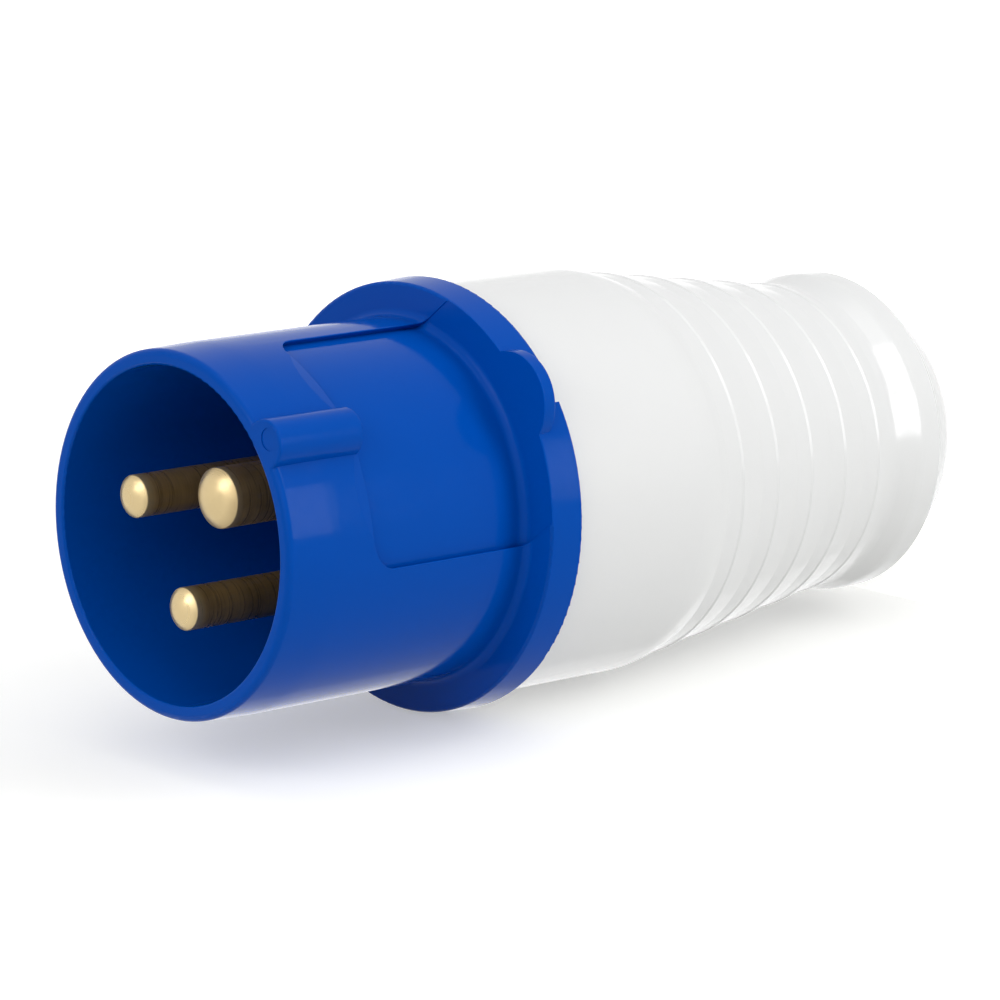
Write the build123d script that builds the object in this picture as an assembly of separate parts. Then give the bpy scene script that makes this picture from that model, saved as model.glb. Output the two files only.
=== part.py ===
"""Industrial pin and sleeve plug, 16 A, two poles and earth, for a cable.

The plug stands on the end face of its gland nut. The axis is Z, the cable comes in from
below at z = 0 and the mating rim is at the top. The key, the lug of the flange and the
earth pin look towards -Y. Sizes are in millimetres.
"""
import os
from math import asin, cos, radians, sin

from build123d import *

# Lengths along the axis, from the mating rim down to the end face
shroud_depth = 35.5
flange_thickness = 4.7
handle_length = 66.0
nut_head_length = 7.4
split_gap = 0.2

# Shroud, its rim and its flange
shroud_outer_r = 21.5
shroud_wall = 2.0
rim_outer_round = 0.8
rim_inner_round = 0.3
shroud_lead_length = 6.8
shroud_lead_depth = 0.2
shroud_lead_round = 40.0
shroud_root_round = 1.0
flange_overhang = 4.25
flange_draft = 0.25
flange_edge_round = 0.35

# Key: a bar with a full round back, flush with the rim
key_width = 5.7
key_height = 2.6
key_length = 12.2
key_end_round = 0.3
ejector_mark_r = 1.3
ejector_mark_depth = 0.12
ejector_mark_below_crest = 1.75

# Sunk panel round the key, left by the side core of the mould
panel_half_angle = 43.5
panel_depth = 0.75
panel_corner_r = 3.2
panel_root_round = 1.1
panel_edge_round = 0.1
panel_bevel_length = 1.7
panel_bevel_depth = 0.3
panel_bevel_curve_r = 37.6
panel_bevel_angle = 19.5
witness_step = 0.12

# Lug on the flange, and the notch behind it for the release tool
lug_r = 5.9
lug_reach = 2.95
lug_thickness = 1.9
lug_edge_round = 0.3
notch_width = 4.3
notch_depth = 1.75

# Floor of the shroud and the spigot that goes into the handle
floor_rise = 0.3
floor_thickness = 4.4
floor_corner_round = 0.6
spigot_length = 12.0
spigot_wall = 1.9
spigot_lead = 0.5

# Twist lock: lugs on the spigot behind ribs in the handle
lock_count = 3
lock_clearance = 0.3
lock_height = 0.9
lock_lug_length = 2.3
lock_lug_span = 28.0
lock_rib_length = 2.0
lock_rib_span = 30.0
lock_rib_depth = 3.2
lock_axial_gap = 0.2

# Sealing ring in its groove behind the flange
seal_groove_depth = 0.9
seal_width = 1.6
seal_groove_play = 0.1
soft_gap = 0.3

# Pins
pin_circle_r = 8.5
earth_angle = -90.0
pole_spread = 120.0
earth_pin_r = 3.5
pole_pin_r = 2.5
pin_tip_recess = 0.3
pin_dome_share = 0.42
pin_shoulder_round = 0.25
collar_lip = 0.8
collar_thickness = 2.0
earth_barrel_wall = 2.0
pole_barrel_wall = 1.7
earth_wire_bore_r = 2.4
pole_wire_bore_r = 2.0
barrel_length = 15.0
wire_bore_depth = 12.0
barrel_edge_round = 0.3

# Terminal screws and the leaves between screw and wire
terminal_screw_r = 1.95
thread_gap = 0.05
terminal_from_end = 5.0
terminal_head_r = 3.1
terminal_head_length = 2.0
terminal_head_lift = 0.8
leaf_thickness = 0.4
leaf_bore_gap = 0.4
leaf_width_share = 0.5
leaf_length = 10.0
leaf_hook = 1.6
leaf_screw_gap = 0.1
slot_width = 0.8
slot_depth = 0.9

# Insulating carrier that the pins stand in, and the plate that holds them
carrier_nose_margin = 1.4
carrier_thickness = 5.4
carrier_gap = 0.1
pin_float = 0.1
pin_boss_height = 0.6
pin_boss_lip = 1.3
pin_root_lip = 0.5
pin_root_rise = 0.3
retainer_thickness = 2.5
barrel_gap = 0.15
barrier_thickness = 1.4
barrier_reach = 11.5
retainer_screw_margin = 3.3
retainer_screw_r = 1.45
retainer_screw_grip = 3.0
retainer_screw_spare = 0.4
retainer_head_r = 2.6
retainer_head_length = 1.7

# Handle: straight grip, ribs on a taper, neck and flare
handle_front_r = 24.5
handle_wall = 2.1
handle_front_round = 0.4
grip_shoulder_length = 3.15
grip_shoulder_round = 11.0
rib_count = 5
rib_pitch = 6.78
rib_taper = 0.98
rib_first_drop = 1.05
rib_groove_lead = 2.85
rib_groove_rise = 0.13
rib_groove_round = 0.4
rib_lip_height = 0.09
rib_lip_length = 0.35
rib_lip_round = 0.25
neck_after_crest = 3.0
neck_from_rear = 7.68
neck_drop = 0.58
neck_round = 4.5
flare_rise = 1.0
flare_from_rear = 3.7
flare_round = 5.0
flare_end_drop = 0.35
flare_edge = 0.5

# Inside of the handle: cavity, seat for the cable seal, bore for the gland nut
cavity_end_inset = 0.23
gland_wall = 2.35
gland_bore_depth = 12.8
seal_chamber_step = 1.6
seal_chamber_depth = 10.6
seat_thickness = 2.0
seat_opening_r = 9.0

# Cable gland
cable_hole_r = 7.5
cable_hole_gap = 0.1
cable_seal_length = 8.0
cable_seal_side_gap = 0.15
cable_seal_groove = 0.8
cable_seal_groove_count = 3
collet_base = 2.8
collet_side_gap = 0.3
collet_ease = 0.9
finger_count = 8
finger_length = 6.4
finger_wall = 2.2
finger_step = 1.2
finger_slot = 2.4
finger_tip_chamfer = 1.2
washer_thickness = 1.0
washer_side_gap = 0.3
finger_side_gap = 0.4
slide_gap = 0.2
nut_thread_gap = 0.1
nut_wall = 2.4
nut_head_step = 0.2
nut_end_r = 13.9
nut_bulge = 0.35
nut_bulge_round = 18.0
nut_end_round = 0.9
nut_end_wall = 3.6
nut_edge_round = 0.3

# Levels and radii that follow from the sizes above
rim_z = nut_head_length + split_gap + handle_length + split_gap + flange_thickness + shroud_depth
flange_front_z = rim_z - shroud_depth
flange_rear_z = flange_front_z - flange_thickness
handle_front_z = flange_rear_z - split_gap
handle_rear_z = handle_front_z - handle_length
floor_z = flange_front_z + floor_rise
floor_rear_z = floor_z - floor_thickness
panel_front_z = rim_z - key_length
shroud_inner_r = shroud_outer_r - shroud_wall
flange_r = shroud_outer_r + flange_overhang
panel_floor_r = shroud_outer_r - panel_depth
panel_half_width = shroud_outer_r * sin(radians(panel_half_angle))
key_crest_r = shroud_outer_r + key_height
lug_centre = flange_r + lug_reach - lug_r

handle_inner_r = handle_front_r - handle_wall
lock_rib_r = handle_inner_r - lock_height
spigot_r = lock_rib_r - lock_clearance
spigot_inner_r = spigot_r - spigot_wall
lock_rib_front_z = handle_front_z - lock_rib_depth
lock_lug_front_z = lock_rib_front_z - lock_rib_length - lock_axial_gap
seal_groove_r = spigot_r - seal_groove_depth

carrier_nose_r = pin_circle_r + earth_pin_r + carrier_nose_margin
carrier_r = spigot_inner_r - carrier_gap
retainer_screw_circle_r = carrier_r - retainer_screw_margin
carrier_rear_z = floor_rear_z - carrier_thickness
retainer_rear_z = carrier_rear_z - retainer_thickness
collar_front_z = carrier_rear_z + collar_thickness
barrel_end_z = carrier_rear_z - barrel_length
terminal_z = barrel_end_z + terminal_from_end
pin_boss_top_z = floor_z + pin_boss_height
pin_root_top_z = pin_boss_top_z + pin_root_rise

neck_z = handle_rear_z + neck_from_rear
last_crest_z = neck_z + neck_after_crest
first_crest_z = last_crest_z + (rib_count - 1) * rib_pitch
grip_end_z = first_crest_z + rib_groove_lead + grip_shoulder_length
first_crest_r = handle_front_r - rib_first_drop
last_crest_r = first_crest_r - (rib_count - 1) * rib_taper
neck_r = last_crest_r - neck_drop
flare_r = neck_r + flare_rise
flare_end_r = flare_r - flare_end_drop
nut_head_r = flare_end_r - nut_head_step
cavity_end_r = last_crest_r - cavity_end_inset
gland_bore_r = neck_r - gland_wall
seal_chamber_r = gland_bore_r - seal_chamber_step
collet_inner_r = cable_hole_r + collet_ease
finger_inner_r = collet_inner_r + finger_step

gland_bore_top_z = handle_rear_z + gland_bore_depth
seat_z = gland_bore_top_z + seal_chamber_depth
cable_seal_end_z = seat_z - cable_seal_length
collet_base_end_z = cable_seal_end_z - collet_base
washer_top_z = collet_base_end_z - slide_gap
washer_end_z = washer_top_z - washer_thickness
nut_spigot_top_z = washer_end_z - slide_gap
nut_spigot_r = gland_bore_r - nut_thread_gap
nut_inner_r = nut_spigot_r - nut_wall
cable_path_r = cable_hole_r + cable_hole_gap

POLES = {"earth": 0.0, "line": pole_spread, "neutral": -pole_spread}


def turned(*corners):
    """Solid of revolution about Z: each corner is (radius, height) or (radius, height, round)."""
    outline = make_face(Polyline(*[corner[:2] for corner in corners], close=True))
    for corner in corners:
        if len(corner) == 3:
            here = Vector(corner[0], corner[1])
            outline = fillet(outline.vertices().sort_by_distance(here)[0], corner[2])
    return revolve(Plane.XZ * outline, Axis.Z)


def tube(inner_r, outer_r, low_z, high_z):
    """Plain ring about the axis."""
    return turned((inner_r, low_z), (outer_r, low_z), (outer_r, high_z), (inner_r, high_z))


def ring_segment(inner_r, outer_r, low_z, high_z, span, middle_angle):
    """Part of a ring, span degrees wide about middle_angle."""
    section = Polyline((inner_r, low_z), (outer_r, low_z), (outer_r, high_z), (inner_r, high_z), close=True)
    segment = revolve(Plane.XZ * make_face(section), Axis.Z, span)
    start = segment.bounding_box().center()
    turn = middle_angle - Vector(start.X, start.Y).get_angle(Vector(1, 0)) * (1 if start.Y > 0 else -1)
    return Rot(0, 0, turn) * segment


def block(x_low, x_high, y_low, y_high, z_low, z_high):
    """Box given by its limits."""
    middle = Pos((x_low + x_high) / 2, (y_low + y_high) / 2, (z_low + z_high) / 2)
    return middle * Box(x_high - x_low, y_high - y_low, z_high - z_low)


def upright(radius, low_z, high_z):
    """Cylinder about Z between two levels."""
    return Pos(0, 0, (low_z + high_z) / 2) * Cylinder(radius, high_z - low_z)


def radial(radius, near, far, level_z):
    """Cylinder along X between two distances from the axis."""
    return Pos((near + far) / 2, 0, level_z) * Rot(0, 90, 0) * Cylinder(radius, far - near)


def at_pole(shape, pole):
    """Move a shape made on the pin's own axis, looking out along +X, to its pole."""
    return Rot(0, 0, earth_angle + POLES[pole]) * Pos(pin_circle_r, 0, 0) * shape


def between_poles(shape):
    """Copies of a shape made along +X, turned to the gaps between the pins."""
    return [Rot(0, 0, earth_angle + angle + 180) * shape for angle in POLES.values()]


def pin_radii(pole):
    """Shank, barrel and wire bore radius of a pin."""
    if pole == "earth":
        return earth_pin_r, earth_wire_bore_r + earth_barrel_wall, earth_wire_bore_r
    return pole_pin_r, pole_wire_bore_r + pole_barrel_wall, pole_wire_bore_r


def shroud_body():
    """Shroud, flange, floor and spigot as one turned form."""
    groove_end_z = flange_rear_z - seal_width - seal_groove_play
    return turned(
        (shroud_inner_r, floor_z, floor_corner_round),
        (shroud_inner_r, rim_z, rim_inner_round),
        (shroud_outer_r - shroud_lead_depth, rim_z, rim_outer_round),
        (shroud_outer_r, rim_z - shroud_lead_length, shroud_lead_round),
        (shroud_outer_r, flange_front_z, shroud_root_round),
        (flange_r - flange_draft, flange_front_z, flange_edge_round),
        (flange_r, flange_rear_z, flange_edge_round),
        (seal_groove_r, flange_rear_z),
        (seal_groove_r, groove_end_z),
        (spigot_r, groove_end_z),
        (spigot_r, flange_rear_z - spigot_length, spigot_lead),
        (spigot_inner_r, flange_rear_z - spigot_length),
        (spigot_inner_r, floor_rear_z),
        (carrier_nose_r + carrier_gap, floor_rear_z),
        (carrier_nose_r + carrier_gap, floor_z),
    )


def flange_lug():
    """Round lug on the flange, in line with the key."""
    disc = Pos(0, -lug_centre, 0) * upright(lug_r, flange_front_z - lug_thickness, flange_front_z)
    return fillet(disc.edges().filter_by(GeomType.CIRCLE), lug_edge_round)


def panel_cut():
    """What the side core takes off the shroud and the flange's front face."""
    beyond = flange_r + 2 * lug_reach
    face_z = flange_front_z - witness_step
    window = make_face(
        Polyline(
            (-panel_half_width, face_z),
            (-panel_half_width, panel_front_z),
            (panel_half_width, panel_front_z),
            (panel_half_width, face_z),
            close=True,
        )
    )
    corners = window.vertices().group_by(Axis.Y)[-1]
    window = fillet(corners, panel_corner_r)
    prism = extrude(Plane.XZ * window, beyond)
    ring = turned(
        (panel_floor_r, face_z, panel_root_round),
        (panel_floor_r, panel_front_z),
        (beyond, panel_front_z),
        (beyond, face_z),
    )
    return prism & ring


def panel_bevel(side):
    """Shallow cone that bevels the panel's front edge beside the key and runs out at both ends."""
    bevel_z = panel_front_z + panel_bevel_length
    axis_shift = shroud_outer_r - panel_bevel_depth - panel_bevel_curve_r
    beyond = panel_bevel_curve_r + key_height
    cone = turned(
        (panel_bevel_curve_r, panel_front_z),
        (panel_bevel_curve_r + panel_bevel_depth, bevel_z),
        (beyond, bevel_z),
        (beyond, panel_front_z),
    )
    return Rot(0, 0, earth_angle + side * panel_bevel_angle) * Pos(axis_shift, 0, 0) * cone


def panel_outline(body):
    """Edges where the panel's walls meet the outside of the shroud."""
    edges = []
    for edge in body.edges():
        middle = edge @ 0.5
        on_shroud = abs(Vector(middle.X, middle.Y).length - shroud_outer_r) < thread_gap
        above_root = panel_front_z >= middle.Z - thread_gap > flange_front_z + shroud_root_round
        if on_shroud and above_root and middle.Y < -shroud_outer_r / 2:
            edges.append(edge)
    return edges


def key_bar():
    """Key with a round back, its ends rounded, and the ejector's mark on its front face."""
    half = key_width / 2
    centre = key_crest_r - half
    foot = shroud_inner_r + shroud_wall / 2
    end_z = rim_z - key_length
    back = Pos(0, -centre, 0) * upright(half, end_z, rim_z)
    back &= block(-half, half, -key_crest_r, -centre, end_z, rim_z)
    bar = back + block(-half, half, -centre, -foot, end_z, rim_z)
    ends = bar.faces().sort_by(Axis.Z)
    edges = [edge for face in (ends[0], ends[-1]) for edge in face.edges() if edge.center().Y < -foot]
    bar = fillet(edges, key_end_round)
    mark_y = -(key_crest_r - ejector_mark_below_crest)
    return bar - Pos(0, mark_y, 0) * upright(ejector_mark_r, rim_z - ejector_mark_depth, rim_z)


def front_shroud():
    """The blue moulding: shroud, key, panel, flange, lug, floor and spigot."""
    body = shroud_body() + flange_lug()
    body -= panel_cut()
    body = fillet(panel_outline(body), panel_edge_round)
    for side in (-1, 1):
        body -= panel_bevel(side)
    body += key_bar()
    notch_top_z = flange_front_z - lug_thickness
    body -= block(
        -notch_width / 2, notch_width / 2,
        -flange_r - notch_depth, -flange_r + notch_depth,
        flange_rear_z - notch_depth, notch_top_z,
    )
    hole_r = retainer_screw_r + thread_gap
    hole_top_z = floor_rear_z + retainer_screw_grip + retainer_screw_spare
    hole = Pos(retainer_screw_circle_r, 0, 0) * upright(hole_r, carrier_rear_z, hole_top_z)
    for copy in between_poles(hole):
        body -= copy
    for index in range(lock_count):
        body += ring_segment(
            spigot_r - spigot_wall / 2, spigot_r + lock_height,
            lock_lug_front_z - lock_lug_length, lock_lug_front_z,
            lock_lug_span, index * 360 / lock_count,
        )
    return body


def housing_seal():
    """Square ring between the flange and the handle."""
    return tube(
        seal_groove_r + thread_gap, handle_inner_r - soft_gap,
        flange_rear_z - seal_width, flange_rear_z,
    )


def pin_carrier():
    """Insulating disc with a nose that fills the shroud's floor and a hole for each pin."""
    body = turned(
        (0, carrier_rear_z),
        (carrier_r, carrier_rear_z),
        (carrier_r, floor_rear_z),
        (carrier_nose_r, floor_rear_z),
        (carrier_nose_r, floor_z),
        (0, floor_z),
    )
    for pole in POLES:
        shank_r, barrel_r, _ = pin_radii(pole)
        body += at_pole(upright(shank_r + pin_boss_lip, floor_rear_z, pin_boss_top_z), pole)
    body &= upright(carrier_r, carrier_rear_z, rim_z)
    for pole in POLES:
        shank_r, barrel_r, _ = pin_radii(pole)
        body -= at_pole(upright(shank_r + pin_root_lip + pin_float, carrier_rear_z, rim_z), pole)
        collar_hole_r = barrel_r + collar_lip + pin_float
        body -= at_pole(upright(collar_hole_r, carrier_rear_z, collar_front_z + pin_float), pole)
    hole = Pos(retainer_screw_circle_r, 0, 0) * upright(retainer_screw_r + thread_gap, carrier_rear_z, floor_z)
    for copy in between_poles(hole):
        body -= copy
    return body


def pin_retainer():
    """Plate that holds the pins' collars, with barriers between the terminals."""
    body = upright(carrier_r, retainer_rear_z, carrier_rear_z)
    fin = block(0, barrier_reach, -barrier_thickness / 2, barrier_thickness / 2, barrel_end_z, retainer_rear_z)
    for copy in between_poles(fin):
        body += copy
    for pole in POLES:
        barrel_r = pin_radii(pole)[1]
        body -= at_pole(upright(barrel_r + barrel_gap, barrel_end_z, carrier_rear_z), pole)
    hole = Pos(retainer_screw_circle_r, 0, 0)
    hole = hole * upright(retainer_screw_r + thread_gap, retainer_rear_z, carrier_rear_z)
    for copy in between_poles(hole):
        body -= copy
    return body


def retainer_screw(index):
    """Screw through the retainer and the carrier into the shroud's floor."""
    top_z = floor_rear_z + retainer_screw_grip
    shank = upright(retainer_screw_r, retainer_rear_z - retainer_head_length / 2, top_z)
    head = turned(
        (0, retainer_rear_z - retainer_head_length),
        (retainer_head_r, retainer_rear_z - retainer_head_length, retainer_head_length / 3),
        (retainer_head_r, retainer_rear_z),
        (0, retainer_rear_z),
    )
    low_z = retainer_rear_z - retainer_head_length
    slot = block(
        -retainer_head_r, retainer_head_r, -slot_width / 2, slot_width / 2,
        low_z, low_z + slot_depth,
    )
    return between_poles(Pos(retainer_screw_circle_r, 0, 0) * (shank + head - slot))[index]


def contact_pin(pole):
    """Turned pin: domed tip, shank, root, collar, and a barrel with wire bore and screw hole."""
    shank_r, barrel_r, bore_r = pin_radii(pole)
    root_r = shank_r + pin_root_lip
    tip_z = rim_z - pin_tip_recess
    dome_height = pin_dome_share * shank_r
    dome_r = (shank_r ** 2 + dome_height ** 2) / (2 * dome_height)
    half_angle = asin(shank_r / dome_r) / 2
    middle = (dome_r * sin(half_angle), tip_z - dome_r + dome_r * cos(half_angle))
    edge = (shank_r, tip_z - dome_height)
    dome = ThreePointArc((0, tip_z), middle, edge)
    collar_r = barrel_r + collar_lip
    sides = Polyline(
        edge,
        (shank_r, pin_root_top_z),
        (root_r, pin_root_top_z),
        (root_r, collar_front_z),
        (collar_r, collar_front_z),
        (collar_r, carrier_rear_z),
        (barrel_r, carrier_rear_z),
        (barrel_r, barrel_end_z),
        (0, barrel_end_z),
        (0, tip_z),
    )
    outline = make_face(dome + sides)
    outline = fillet(outline.vertices().sort_by_distance(Vector(*edge))[0], pin_shoulder_round)
    heel = Vector(barrel_r, barrel_end_z)
    outline = fillet(outline.vertices().sort_by_distance(heel)[0], barrel_edge_round)
    body = revolve(Plane.XZ * outline, Axis.Z)
    body -= upright(bore_r, barrel_end_z, barrel_end_z + wire_bore_depth)
    body -= radial(terminal_screw_r + thread_gap, bore_r / 2, 2 * barrel_r, terminal_z)
    return at_pole(body, pole)


def clamp_leaf(pole):
    """Thin leaf in the wire bore under the screw, hooked over the barrel's end."""
    bore_r = pin_radii(pole)[2]
    outer = bore_r - leaf_bore_gap
    half = leaf_width_share * bore_r
    low_z = barrel_end_z - leaf_thickness
    strip = block(outer - leaf_thickness, outer, -half, half, low_z, low_z + leaf_length)
    hook = block(outer - leaf_thickness, outer + leaf_hook, -half, half, low_z, barrel_end_z)
    return at_pole(strip + hook, pole)


def terminal_screw(pole):
    """Cheese head screw that clamps the wire, run in until it meets the leaf."""
    _, barrel_r, bore_r = pin_radii(pole)
    tip = bore_r - leaf_bore_gap + leaf_screw_gap
    head_near = barrel_r + terminal_head_lift
    head_far = head_near + terminal_head_length
    shank = radial(terminal_screw_r, tip, head_near + terminal_head_length / 2, terminal_z)
    head = radial(terminal_head_r, head_near, head_far, terminal_z)
    slot = block(
        head_far - slot_depth, head_far, -terminal_head_r, terminal_head_r,
        terminal_z - slot_width / 2, terminal_z + slot_width / 2,
    )
    return at_pole(shank + head - slot, pole)


def rib_corners():
    """Groove, foot of the lip and crest of each rib down the taper, front to back."""
    corners = []
    for index in range(rib_count):
        crest_z = first_crest_z - index * rib_pitch
        crest_r = first_crest_r - index * rib_taper
        corners.append((crest_r + rib_groove_rise, crest_z + rib_groove_lead, rib_groove_round))
        corners.append((crest_r - rib_lip_height, crest_z + rib_lip_length))
        corners.append((crest_r, crest_z, rib_lip_round))
    return corners


def handle():
    """White handle: straight grip, ribs on a taper, neck and flare, hollow inside."""
    outside = [
        (handle_front_r, handle_front_z, handle_front_round),
        (handle_front_r, grip_end_z, grip_shoulder_round),
        *rib_corners(),
        (neck_r, neck_z, neck_round),
        (flare_r, handle_rear_z + flare_from_rear, flare_round),
        (flare_r, handle_rear_z + flare_edge, flare_edge / 2),
        (flare_end_r, handle_rear_z),
    ]
    inside = [
        (gland_bore_r, handle_rear_z),
        (gland_bore_r, gland_bore_top_z),
        (seal_chamber_r, gland_bore_top_z),
        (seal_chamber_r, seat_z),
        (seat_opening_r, seat_z),
        (seat_opening_r, seat_z + seat_thickness),
        (cavity_end_r, seat_z + seat_thickness),
        (handle_inner_r, grip_end_z),
        (handle_inner_r, handle_front_z),
    ]
    body = turned(*outside, *inside)
    for index in range(lock_count):
        body += ring_segment(
            lock_rib_r, handle_inner_r + handle_wall / 2,
            lock_rib_front_z - lock_rib_length, lock_rib_front_z,
            lock_rib_span, index * 360 / lock_count,
        )
    return body


def cable_seal():
    """Rubber ring on its seat, with grooves in its bore."""
    outer_r = seal_chamber_r - cable_seal_side_gap
    body = tube(cable_path_r, outer_r, cable_seal_end_z, seat_z)
    step = cable_seal_length / (cable_seal_groove_count + 1)
    for index in range(cable_seal_groove_count):
        middle_z = cable_seal_end_z + (index + 1) * step
        body -= turned(
            (cable_path_r, middle_z - cable_seal_groove),
            (cable_path_r + cable_seal_groove, middle_z),
            (cable_path_r, middle_z + cable_seal_groove),
        )
    return body


def clamp_collet():
    """Cage with springy fingers that the nut closes on the cable."""
    tip_z = collet_base_end_z - finger_length
    finger_outer_r = finger_inner_r + finger_wall
    base_r = seal_chamber_r - collet_side_gap
    body = turned(
        (collet_inner_r, cable_seal_end_z),
        (base_r, cable_seal_end_z),
        (base_r, collet_base_end_z),
        (finger_outer_r, collet_base_end_z),
        (finger_outer_r, tip_z + finger_tip_chamfer),
        (finger_outer_r - finger_tip_chamfer, tip_z),
        (finger_inner_r, tip_z),
        (finger_inner_r, collet_base_end_z),
        (collet_inner_r, collet_base_end_z),
    )
    slot = block(0, base_r, -finger_slot / 2, finger_slot / 2, tip_z, collet_base_end_z)
    for index in range(finger_count // 2):
        turn = Rot(0, 0, index * 360 / finger_count)
        body -= turn * slot
        body -= turn * Rot(0, 0, 180) * slot
    return body


def thrust_washer():
    """Slip ring between the nut's end and the collet."""
    inner_r = finger_inner_r + finger_wall + finger_side_gap
    return tube(inner_r, gland_bore_r - washer_side_gap, washer_end_z, washer_top_z)


def gland_nut():
    """White end cap: domed head, threaded spigot, and a cone inside that closes the fingers."""
    middle_z = nut_head_length / 2
    middle_r = (nut_head_r + nut_end_r) / 2 + nut_bulge
    return turned(
        (cable_hole_r, 0),
        (nut_end_r, 0, nut_end_round),
        (middle_r, middle_z, nut_bulge_round),
        (nut_head_r, nut_head_length, nut_edge_round),
        (nut_spigot_r, nut_head_length),
        (nut_spigot_r, nut_spigot_top_z, nut_edge_round),
        (nut_inner_r, nut_spigot_top_z),
        (nut_inner_r, nut_end_wall + nut_inner_r - cable_hole_r),
        (cable_hole_r, nut_end_wall),
    )


PARTS = {
    "front_shroud": front_shroud,
    "housing_seal": housing_seal,
    "pin_carrier": pin_carrier,
    "pin_retainer": pin_retainer,
    "handle": handle,
    "cable_seal": cable_seal,
    "clamp_collet": clamp_collet,
    "thrust_washer": thrust_washer,
    "gland_nut": gland_nut,
}

os.makedirs("parts", exist_ok=True)
for name, make in PARTS.items():
    export_step(make(), f"parts/{name}.step")
for pole in POLES:
    export_step(contact_pin(pole), f"parts/{pole}_pin.step")
    export_step(clamp_leaf(pole), f"parts/{pole}_clamp_leaf.step")
    export_step(terminal_screw(pole), f"parts/{pole}_terminal_screw.step")
for index in range(len(POLES)):
    export_step(retainer_screw(index), f"parts/retainer_screw_{index + 1}.step")
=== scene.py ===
"""Looks of an industrial pin and sleeve plug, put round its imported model."""
import math

import bpy
from bpy.props import FloatProperty, FloatVectorProperty, PointerProperty
from mathutils import Matrix, Vector


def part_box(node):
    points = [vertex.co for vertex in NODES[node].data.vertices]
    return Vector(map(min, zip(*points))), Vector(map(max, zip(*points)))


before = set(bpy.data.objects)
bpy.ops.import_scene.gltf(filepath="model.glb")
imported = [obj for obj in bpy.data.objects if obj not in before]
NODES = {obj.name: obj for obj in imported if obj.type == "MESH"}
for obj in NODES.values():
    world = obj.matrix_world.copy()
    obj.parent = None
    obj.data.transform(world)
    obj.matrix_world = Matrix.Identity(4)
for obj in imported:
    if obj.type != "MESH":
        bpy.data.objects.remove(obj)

bl_info = {
    "name": "Pin and Sleeve Plug Looks",
    "version": (1, 0, 0),
    "blender": (4, 5, 0),
    "location": "View3D > Sidebar > Plug",
    "description": "Finishes the plastic, brass, steel and rubber of an industrial plug",
    "category": "Object",
}

MM = 0.001
UPWARDS = Vector((0.0, 0.0, 1.0))

# The photograph's view: its frame, the lens, and where the camera stands
PHOTO_PIXELS = 1000
FOCAL_PIXELS = 5362
SENSOR_WIDTH = 36.0
CLIP_START = 10.0 * MM
VIEW_AZIMUTH = math.radians(-22.7295)
VIEW_ELEVATION = math.radians(41.4027)
VIEW_ROLL = math.radians(-99.4334)
VIEW_AIM = Vector((-1.935, 0.811, 63.774)) * MM
VIEW_DISTANCE = 639.29 * MM

# The plug in the photograph lies on the rim of its flange and the end of its straight grip:
# the radius and height of both, and the side of the plug that they touch with
FLANGE_RIM = (25.75 * MM, 74.15 * MM)
GRIP_END = (24.5 * MM, 51.3 * MM)
LYING_TOWARDS = Vector((-0.788, 0.616, 0.0))

# Lamps, aimed at the plug: the shares of the view's right, up and near in their direction,
# their distance, width and height in metres, and their power in watts
LAMPS = (
    ("overhead_softbox", (0.12, 0.96, 0.22), 1.2, (1.0, 1.0), 2.7),
    ("upper_softbox", (0.72, 0.61, 0.31), 0.9, (0.45, 0.22), 1.7),
    ("side_softbox", (0.915, 0.17, 0.375), 0.9, (0.40, 0.27), 1.9),
    ("front_fill", (-0.30, 0.35, 0.88), 1.2, (1.2, 1.2), 3.6),
    ("mouth_softbox", (-0.66, 0.40, 0.63), 1.0, (0.5, 0.5), 2.0),
    ("back_fill", (-0.05, -0.18, -0.98), 1.2, (1.2, 1.2), 1.4),
)
SHEET_PAINT = (0.76, 0.76, 0.74)

# The middle of a noise texture's range, where nearly all of its values lie
NOISE_BAND = (0.3, 0.7)

# Moulded plastic: noise scales, per metre, of the clouds in its colour, the speckle in its
# gloss and the ripple of its face, and how far the speckle moves the roughness
CLOUD_SCALE = 60.0
SPECKLE_SCALE = 900.0
RIPPLE_SCALE = 350.0
SPECKLE_GLOSSIER = 0.04
SPECKLE_ROUGHER = 0.05

# The handle and its nut are cleaner and smoother than the other mouldings, and the nut
# is a touch darker than the handle: painted shade, as its end faces away from the light
CLEAN_CLOUD = 0.01
CLEAN_GRAIN = 0.002
NUT_PAINTED_SHADE = 0.97

# Turned brass: tool rings are close along the pin and long round it, stains are blotches
RING_SCALE = (90.0, 90.0, 3200.0)
RING_DEPTH = 0.002 * MM
RING_BAND = (0.35, 0.65)
RING_SHADES = (0.85, 1.2)
RING_ROUGHNESS = (0.22, 0.42)
STAIN_SCALE = 260.0
STAIN_BAND = (0.45, 0.7)
STAIN_SHARE = 0.5
STAIN_SHADE = 0.45
TIP_SHADES = (0.85, 1.1)
TIP_FADE_START = 2.4 * MM
TIP_FADE_END = 0.6 * MM
SHANK_AND_TIP_METALLIC = (0.45, 0.8)

# Plated steel: its mottle
MOTTLE_SCALE = 900.0
MOTTLE_DEPTH = 0.006 * MM
MOTTLE_SHADES = (0.8, 1.15)
MOTTLE_ROUGHNESS = (0.25, 0.45)

# Moulded rubber: the fine tooth of its face
TOOTH_SCALE = 1500.0
TOOTH_DEPTH = 0.02 * MM
TOOTH_SHADES = (0.7, 1.4)
TOOTH_ROUGHNESS = (0.6, 0.8)


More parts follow.
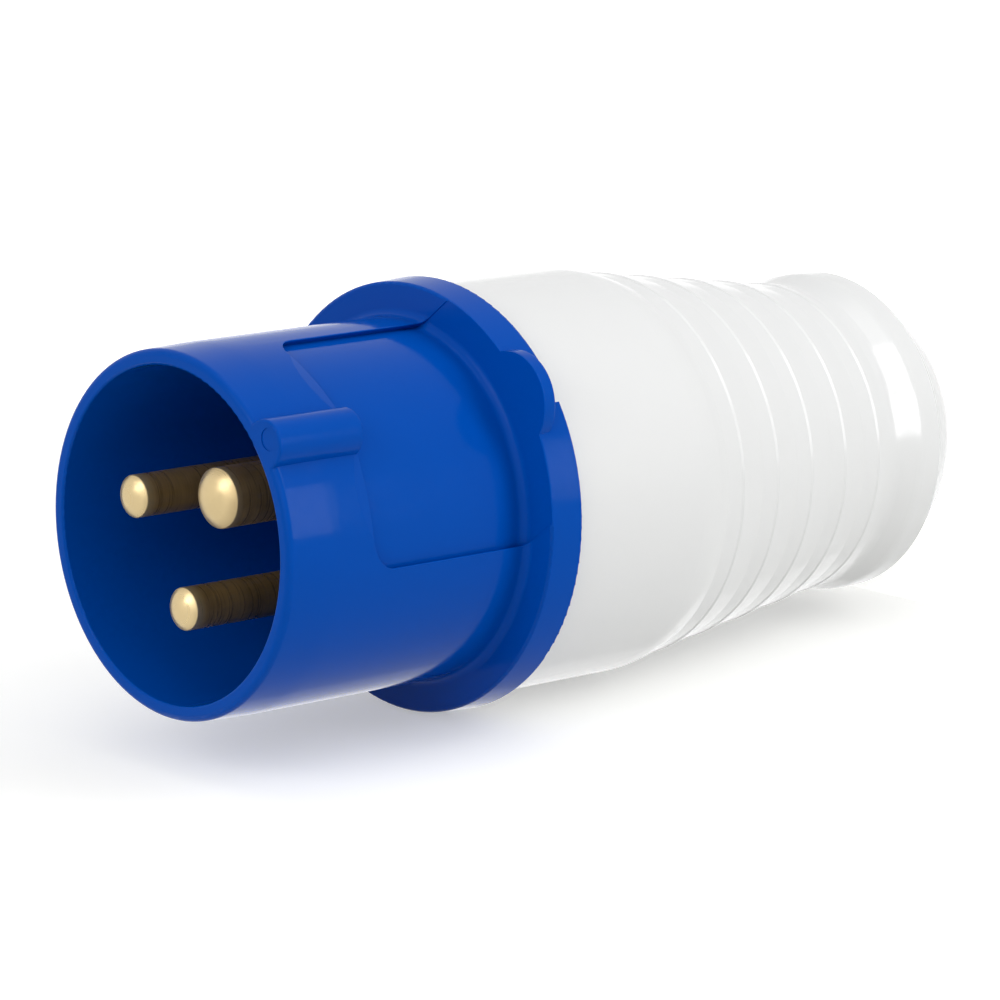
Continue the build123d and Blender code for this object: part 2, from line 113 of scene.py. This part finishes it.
class PlugColours(bpy.types.PropertyGroup):
    """Colours of the finishes."""

    blue: FloatVectorProperty(
        name="Shroud Blue", description="Blue of the front moulding", subtype="COLOR",
        default=(0.0, 0.066, 0.395), min=0.0, max=1.0,
    )
    # The carrier's blue is the shroud's blue darkened: painted shade deep inside the shroud
    carrier_painted_shade_blue: FloatVectorProperty(
        name="Carrier Blue", description="Blue of the disc that the pins stand in",
        subtype="COLOR", default=(0.0, 0.05, 0.29), min=0.0, max=1.0,
    )
    white: FloatVectorProperty(
        name="Handle White", description="White of the handle and the gland nut",
        subtype="COLOR", default=(0.745, 0.75, 0.75), min=0.0, max=1.0,
    )
    nylon: FloatVectorProperty(
        name="Natural Nylon", description="Nylon of the collet and the slip washer",
        subtype="COLOR", default=(0.72, 0.70, 0.63), min=0.0, max=1.0,
    )
    retainer_grey: FloatVectorProperty(
        name="Retainer Grey", description="Grey of the plate that holds the pins",
        subtype="COLOR", default=(0.62, 0.62, 0.6), min=0.0, max=1.0,
    )
    brass: FloatVectorProperty(
        name="Brass", description="Bright turned brass of the pin tips", subtype="COLOR",
        default=(0.72, 0.56, 0.30), min=0.0, max=1.0,
    )
    # The shanks' darker brass is part tarnish and part painted shade deep inside the shroud
    patina_and_shade: FloatVectorProperty(
        name="Patina", description="Darkened brass of the pin shanks", subtype="COLOR",
        default=(0.25, 0.16, 0.06), min=0.0, max=1.0,
    )
    zinc: FloatVectorProperty(
        name="Zinc", description="Zinc plating of the screws", subtype="COLOR",
        default=(0.62, 0.62, 0.62), min=0.0, max=1.0,
    )
    spring_strip: FloatVectorProperty(
        name="Spring Strip", description="Strip of the clamp leaves", subtype="COLOR",
        default=(0.66, 0.6, 0.48), min=0.0, max=1.0,
    )
    rubber: FloatVectorProperty(
        name="Rubber", description="Black rubber of the two seals", subtype="COLOR",
        default=(0.03, 0.03, 0.033), min=0.0, max=1.0,
    )


class PlugStage(bpy.types.PropertyGroup):
    """Light level, floor and board of the studio."""

    world_level: FloatProperty(
        name="World Level", description="Strength of the light from all round",
        default=0.44, min=0.0, max=2.0,
    )
    floor_glow: FloatProperty(
        name="Floor Glow", description="White of the floor that shadows don't reach",
        default=0.66, min=0.0, max=1.0, subtype="FACTOR",
    )
    board_glow: FloatProperty(
        name="Board Glow", description="White of the board that shadows don't reach",
        default=0.40, min=0.0, max=1.0, subtype="FACTOR",
    )
    floor_size: FloatProperty(
        name="Floor Size", description="Width of the floor and of the board",
        default=3.0, unit="LENGTH",
    )


def new_material(name):
    """Material with a Principled shader; returns it with its nodes, links and shader."""
    material = bpy.data.materials.new(name)
    material.use_nodes = True
    tree = material.node_tree
    return material, tree.nodes, tree.links, tree.nodes["Principled BSDF"]


def object_point(nodes):
    """Socket with the point's place in the plug's frame."""
    return nodes.new("ShaderNodeTexCoord").outputs["Object"]


def noise(nodes, links, point, scale, detail):
    """Noise texture on a point; returns its value socket."""
    texture = nodes.new("ShaderNodeTexNoise")
    texture.inputs["Scale"].default_value = scale
    texture.inputs["Detail"].default_value = detail
    links.new(point, texture.inputs["Vector"])
    return texture.outputs["Fac"]


def ranged(nodes, links, value, low, high, from_low=0.0, from_high=1.0):
    """Maps a value's range to another; returns the socket."""
    mapped = nodes.new("ShaderNodeMapRange")
    mapped.inputs["From Min"].default_value = from_low
    mapped.inputs["From Max"].default_value = from_high
    mapped.inputs["To Min"].default_value = low
    mapped.inputs["To Max"].default_value = high
    links.new(value, mapped.inputs["Value"])
    return mapped.outputs["Result"]


def reckoned(nodes, links, operation, first, second):
    """Math node on two sockets, kept between 0 and 1; returns the socket."""
    node = nodes.new("ShaderNodeMath")
    node.operation = operation
    node.use_clamp = True
    links.new(first, node.inputs[0])
    links.new(second, node.inputs[1])
    return node.outputs["Value"]


def bump(nodes, links, height, distance):
    """Bump from a height socket, in metres; returns the normal socket."""
    node = nodes.new("ShaderNodeBump")
    node.inputs["Strength"].default_value = 1.0
    node.inputs["Distance"].default_value = distance
    links.new(height, node.inputs["Height"])
    return node.outputs["Normal"]


def mixed_colour(nodes, links, factor, first, second):
    """Mix of two colours by a factor socket; returns the colour socket."""
    mix = nodes.new("ShaderNodeMix")
    mix.data_type = "RGBA"
    links.new(factor, mix.inputs["Factor"])
    for socket, colour in ((mix.inputs["A"], first), (mix.inputs["B"], second)):
        if isinstance(colour, bpy.types.NodeSocket):
            links.new(colour, socket)
        else:
            socket.default_value = (*colour, 1.0)
    return mix.outputs["Result"]


def shaded(colour, share):
    """The colour times a share."""
    return tuple(channel * share for channel in colour)


def shades_of(nodes, links, factor, colour, shares):
    """Mix of two shades of one colour by a factor socket; returns the colour socket."""
    darker, lighter = (shaded(colour, share) for share in shares)
    return mixed_colour(nodes, links, factor, darker, lighter)


def assign(material, *names):
    """Gives CAD nodes the material in their own slots."""
    for name in names:
        piece = NODES[name]
        piece.data.materials.clear()
        piece.data.materials.append(material)


def moulded_plastic(name, colour, roughness, specular, cloud=0.04, grain=0.004):
    """Moulded plastic: clouds in its colour, speckle in its gloss, and a ripple grain mm deep."""
    material, nodes, links, shader = new_material(name)
    point = object_point(nodes)
    clouds = noise(nodes, links, point, CLOUD_SCALE, 3.0)
    colours = shades_of(nodes, links, clouds, colour, (1 - cloud, 1 + cloud))
    links.new(colours, shader.inputs["Base Color"])
    speckle = noise(nodes, links, point, SPECKLE_SCALE, 2.0)
    glossiest, roughest = roughness - SPECKLE_GLOSSIER, roughness + SPECKLE_ROUGHER
    gloss = ranged(nodes, links, speckle, glossiest, roughest, *NOISE_BAND)
    links.new(gloss, shader.inputs["Roughness"])
    ripple = noise(nodes, links, point, RIPPLE_SCALE, 1.0)
    links.new(bump(nodes, links, ripple, grain * MM), shader.inputs["Normal"])
    shader.inputs["Specular IOR Level"].default_value = specular
    return material


def turned_brass(name, tip_colour, shank_colour, tip_z):
    """Brass with fine tool rings: bright on the dome, darker and stained down the shank, its
    darker brass part tarnish and part painted shade.
    """
    material, nodes, links, shader = new_material(name)
    point = object_point(nodes)
    split = nodes.new("ShaderNodeSeparateXYZ")
    links.new(point, split.inputs["Vector"])
    stretched = nodes.new("ShaderNodeMapping")
    stretched.inputs["Scale"].default_value = RING_SCALE
    links.new(point, stretched.inputs["Vector"])
    rings = noise(nodes, links, stretched.outputs["Vector"], 1.0, 3.0)
    stains = noise(nodes, links, point, STAIN_SCALE, 4.0)
    ringed = ranged(nodes, links, rings, 0.0, 1.0, *RING_BAND)
    # Shank brass: part tarnish, part painted shade where the shanks stand deep in the shroud
    shank = shades_of(nodes, links, ringed, shank_colour, RING_SHADES)
    stained = ranged(nodes, links, stains, 0.0, STAIN_SHARE, *STAIN_BAND)
    shank = mixed_colour(nodes, links, stained, shank, shaded(shank_colour, STAIN_SHADE))
    tip = shades_of(nodes, links, stains, tip_colour, TIP_SHADES)
    on_tip = ranged(
        nodes, links, split.outputs["Z"], 0.0, 1.0, tip_z - TIP_FADE_START, tip_z - TIP_FADE_END,
    )
    links.new(mixed_colour(nodes, links, on_tip, shank, tip), shader.inputs["Base Color"])
    gloss = ranged(nodes, links, rings, *RING_ROUGHNESS, *NOISE_BAND)
    links.new(gloss, shader.inputs["Roughness"])
    metallic = ranged(nodes, links, on_tip, *SHANK_AND_TIP_METALLIC)
    links.new(metallic, shader.inputs["Metallic"])
    links.new(bump(nodes, links, rings, RING_DEPTH), shader.inputs["Normal"])
    return material


def grained(name, colour, scale, detail, shades, roughness, depth):
    """Finish whose colour, gloss and height all follow one noise; returns it and its shader."""
    material, nodes, links, shader = new_material(name)
    grain = noise(nodes, links, object_point(nodes), scale, detail)
    links.new(shades_of(nodes, links, grain, colour, shades), shader.inputs["Base Color"])
    gloss = ranged(nodes, links, grain, *roughness, *NOISE_BAND)
    links.new(gloss, shader.inputs["Roughness"])
    links.new(bump(nodes, links, grain, depth), shader.inputs["Normal"])
    return material, shader


def plated_steel(name, colour):
    """Zinc plated steel with a soft mottle."""
    material, shader = grained(
        name, colour, MOTTLE_SCALE, 4.0, MOTTLE_SHADES, MOTTLE_ROUGHNESS, MOTTLE_DEPTH,
    )
    shader.inputs["Metallic"].default_value = 1.0
    return material


def moulded_rubber(name, colour):
    """Matt rubber with a fine tooth."""
    material, _ = grained(
        name, colour, TOOTH_SCALE, 3.0, TOOTH_SHADES, TOOTH_ROUGHNESS, TOOTH_DEPTH,
    )
    return material


class PLUG_OT_finish_shroud(bpy.types.Operator):
    """Blue plastic of the shroud and of the disc that the pins stand in"""

    bl_idname = "plug.finish_shroud"
    bl_label = "Finish Shroud"

    def execute(self, context):
        colours = context.scene.plug_colours
        shroud_blue = moulded_plastic(
            "shroud_blue", tuple(colours.blue), roughness=0.12, specular=0.045,
        )
        assign(shroud_blue, "front_shroud")
        # The carrier takes the shroud's blue, darker as painted shade deep inside the shroud
        carrier_painted_shade_blue = moulded_plastic(
            "carrier_painted_shade_blue", tuple(colours.carrier_painted_shade_blue), roughness=0.35, specular=0.12,
        )
        assign(carrier_painted_shade_blue, "pin_carrier")
        return {"FINISHED"}


class PLUG_OT_finish_handle(bpy.types.Operator):
    """White plastic of the handle, the gland nut and the hidden pale pieces"""

    bl_idname = "plug.finish_handle"
    bl_label = "Finish Handle"

    def execute(self, context):
        colours = context.scene.plug_colours
        white = tuple(colours.white)
        handle_white = moulded_plastic(
            "handle_white", white, roughness=0.16, specular=0.6,
            cloud=CLEAN_CLOUD, grain=CLEAN_GRAIN,
        )
        assign(handle_white, "handle")
        # The nut's white is the handle's white darkened as painted shade
        nut_white = moulded_plastic(
            "nut_white", shaded(white, NUT_PAINTED_SHADE), roughness=0.2, specular=0.45,
            cloud=CLEAN_CLOUD, grain=CLEAN_GRAIN,
        )
        assign(nut_white, "gland_nut")
        natural_nylon = moulded_plastic(
            "natural_nylon", tuple(colours.nylon), roughness=0.45, specular=0.4, cloud=0.05,
        )
        assign(natural_nylon, "clamp_collet", "thrust_washer")
        retainer_grey = moulded_plastic(
            "retainer_grey", tuple(colours.retainer_grey), roughness=0.4, specular=0.4,
        )
        assign(retainer_grey, "pin_retainer")
        return {"FINISHED"}


class PLUG_OT_finish_pins(bpy.types.Operator):
    """Turned brass of the three pins"""

    bl_idname = "plug.finish_pins"
    bl_label = "Finish Pins"

    def execute(self, context):
        colours = context.scene.plug_colours
        tip_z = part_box("earth_pin")[1].z
        brass = turned_brass("pin_brass", tuple(colours.brass), tuple(colours.patina_and_shade), tip_z)
        assign(brass, "earth_pin", "line_pin", "neutral_pin")
        return {"FINISHED"}


class PLUG_OT_finish_fasteners(bpy.types.Operator):
    """Steel of the screws and of the clamp leaves"""

    bl_idname = "plug.finish_fasteners"
    bl_label = "Finish Fasteners"

    def execute(self, context):
        colours = context.scene.plug_colours
        screws = [name for name in NODES if "screw" in name]
        assign(plated_steel("zinc_steel", tuple(colours.zinc)), *screws)
        leaves = [name for name in NODES if name.endswith("clamp_leaf")]
        assign(plated_steel("spring_strip", tuple(colours.spring_strip)), *leaves)
        return {"FINISHED"}


class PLUG_OT_finish_seals(bpy.types.Operator):
    """Black rubber of the two seals"""

    bl_idname = "plug.finish_seals"
    bl_label = "Finish Seals"

    def execute(self, context):
        rubber = moulded_rubber("seal_rubber", tuple(context.scene.plug_colours.rubber))
        assign(rubber, "housing_seal", "cable_seal")
        return {"FINISHED"}


def view_axes():
    """Right, up and towards-the-camera directions of the photograph's view."""
    across = math.cos(VIEW_ELEVATION)
    near = Vector((
        math.sin(VIEW_AZIMUTH) * across,
        -math.cos(VIEW_AZIMUTH) * across,
        math.sin(VIEW_ELEVATION),
    ))
    level_right = UPWARDS.cross(near).normalized()
    level_up = near.cross(level_right)
    turn = Matrix.Rotation(VIEW_ROLL, 3, near)
    return turn @ level_right, turn @ level_up, near


def lying_plane():
    """Point and normal of the plane that the flange's rim and the grip's end both touch."""
    side = LYING_TOWARDS.normalized()
    flange = side * FLANGE_RIM[0] + UPWARDS * FLANGE_RIM[1]
    grip = side * GRIP_END[0] + UPWARDS * GRIP_END[1]
    along = (flange - grip).normalized()
    normal = -(side - along * side.dot(along)).normalized()
    return flange, normal


def studio_white(name, glow, bounces=False):
    """White that only the camera sees, and only from its front: a paint that takes shadows, and
    a glow on it. With bounces the paint also throws light back on the plug."""
    material, nodes, links, shader = new_material(name)
    nodes.remove(shader)
    paint = nodes.new("ShaderNodeBsdfDiffuse")
    paint.inputs["Color"].default_value = (*SHEET_PAINT, 1.0)
    light = nodes.new("ShaderNodeEmission")
    rays = nodes.new("ShaderNodeLightPath").outputs
    camera_ray = rays["Is Camera Ray"]
    links.new(ranged(nodes, links, camera_ray, 0.0, glow), light.inputs["Strength"])
    surface = nodes.new("ShaderNodeAddShader")
    links.new(paint.outputs["BSDF"], surface.inputs[0])
    links.new(light.outputs["Emission"], surface.inputs[1])
    seen = camera_ray
    if bounces:
        seen = reckoned(nodes, links, "MAXIMUM", camera_ray, rays["Is Diffuse Ray"])
    behind = nodes.new("ShaderNodeNewGeometry").outputs["Backfacing"]
    clear = nodes.new("ShaderNodeBsdfTransparent")
    shown = nodes.new("ShaderNodeMixShader")
    links.new(reckoned(nodes, links, "SUBTRACT", seen, behind), shown.inputs["Fac"])
    links.new(clear.outputs["BSDF"], shown.inputs[1])
    links.new(surface.outputs["Shader"], shown.inputs[2])
    links.new(shown.outputs["Shader"], nodes["Material Output"].inputs["Surface"])
    return material


def add_sheet(name, size, middle, normal, material):
    """Flat square of the stage, facing along normal."""
    bpy.ops.object.select_all(action="DESELECT")
    bpy.ops.mesh.primitive_plane_add(size=size)
    sheet = bpy.context.object
    sheet.name = name
    turn = normal.to_track_quat("Z", "Y").to_matrix().to_4x4()
    sheet.data.transform(Matrix.Translation(middle) @ turn)
    sheet.data.materials.append(material)


def add_lamp(name, shares, distance, size, power):
    """Rectangular lamp in a direction of the photograph's view, aimed at the plug."""
    right, up, near = (axis * share for axis, share in zip(view_axes(), shares))
    direction = (right + up + near).normalized()
    light = bpy.data.lights.new(name, "AREA")
    light.shape = "RECTANGLE"
    light.size, light.size_y = size
    light.energy = power
    lamp = bpy.data.objects.new(name, light)
    bpy.context.scene.collection.objects.link(lamp)
    lamp.location = VIEW_AIM + direction * distance
    lamp.rotation_mode = "QUATERNION"
    lamp.rotation_quaternion = direction.to_track_quat("Z", "Y")


def light_world(level):
    """White world: full white to the camera and in reflections, and a plain level as light."""
    world = bpy.data.worlds.new("studio_world")
    bpy.context.scene.world = world
    world.use_nodes = True
    nodes, links = world.node_tree.nodes, world.node_tree.links
    background = nodes["Background"]
    background.inputs["Color"].default_value = (1.0, 1.0, 1.0, 1.0)
    rays = nodes.new("ShaderNodeLightPath").outputs
    seen = rays["Is Camera Ray"]
    for ray in ("Is Glossy Ray", "Is Transmission Ray"):
        seen = reckoned(nodes, links, "MAXIMUM", seen, rays[ray])
    links.new(ranged(nodes, links, seen, level, 1.0), background.inputs["Strength"])


def place_camera(scene):
    """Camera of the photograph."""
    right, up, near = view_axes()
    lens = bpy.data.cameras.new("photo_camera")
    lens.sensor_width = SENSOR_WIDTH
    lens.lens = FOCAL_PIXELS / PHOTO_PIXELS * SENSOR_WIDTH
    lens.clip_start = CLIP_START
    camera = bpy.data.objects.new("photo_camera", lens)
    scene.collection.objects.link(camera)
    axes = Matrix((right, up, near)).transposed()
    camera.matrix_world = Matrix.Translation(VIEW_AIM + near * VIEW_DISTANCE) @ axes.to_4x4()
    scene.camera = camera


class PLUG_OT_build_stage(bpy.types.Operator):
    """Floor, board behind the plug, world, lamps and camera at the photograph's viewing angle"""

    bl_idname = "plug.build_stage"
    bl_label = "Build Stage"

    def execute(self, context):
        stage = context.scene.plug_stage
        floor_white = studio_white("floor_white", stage.floor_glow)
        add_sheet("floor", stage.floor_size, Vector(), UPWARDS, floor_white)
        board_white = studio_white("board_white", stage.board_glow, bounces=True)
        add_sheet("board", stage.floor_size, *lying_plane(), board_white)
        light_world(stage.world_level)
        for lamp in LAMPS:
            add_lamp(*lamp)
        place_camera(context.scene)
        context.scene.view_settings.view_transform = "Standard"
        return {"FINISHED"}


class PLUG_PT_looks(bpy.types.Panel):
    """Sidebar panel with the plug's colours, its stage and its steps"""

    bl_idname = "PLUG_PT_looks"
    bl_label = "Plug Looks"
    bl_space_type = "VIEW_3D"
    bl_region_type = "UI"
    bl_category = "Plug"

    def draw(self, context):
        layout = self.layout
        for group in (context.scene.plug_colours, context.scene.plug_stage):
            for name in group.__annotations__:
                layout.prop(group, name)
        for step in STEPS:
            layout.operator(step.bl_idname)


STEPS = (
    PLUG_OT_finish_shroud,
    PLUG_OT_finish_handle,
    PLUG_OT_finish_pins,
    PLUG_OT_finish_fasteners,
    PLUG_OT_finish_seals,
    PLUG_OT_build_stage,
)
CLASSES = (PlugColours, PlugStage, *STEPS, PLUG_PT_looks)


def register():
    """Adds the classes and their settings."""
    for each in CLASSES:
        bpy.utils.register_class(each)
    bpy.types.Scene.plug_colours = PointerProperty(type=PlugColours)
    bpy.types.Scene.plug_stage = PointerProperty(type=PlugStage)


def unregister():
    """Takes the classes and their settings away."""
    del bpy.types.Scene.plug_stage
    del bpy.types.Scene.plug_colours
    for each in reversed(CLASSES):
        bpy.utils.unregister_class(each)


def main():
    """Builds the looks in order."""
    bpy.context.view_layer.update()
    register()
    bpy.ops.plug.finish_shroud()
    bpy.ops.plug.finish_handle()
    bpy.ops.plug.finish_pins()
    bpy.ops.plug.finish_fasteners()
    bpy.ops.plug.finish_seals()
    bpy.ops.plug.build_stage()


if __name__ == "__main__":
    main()
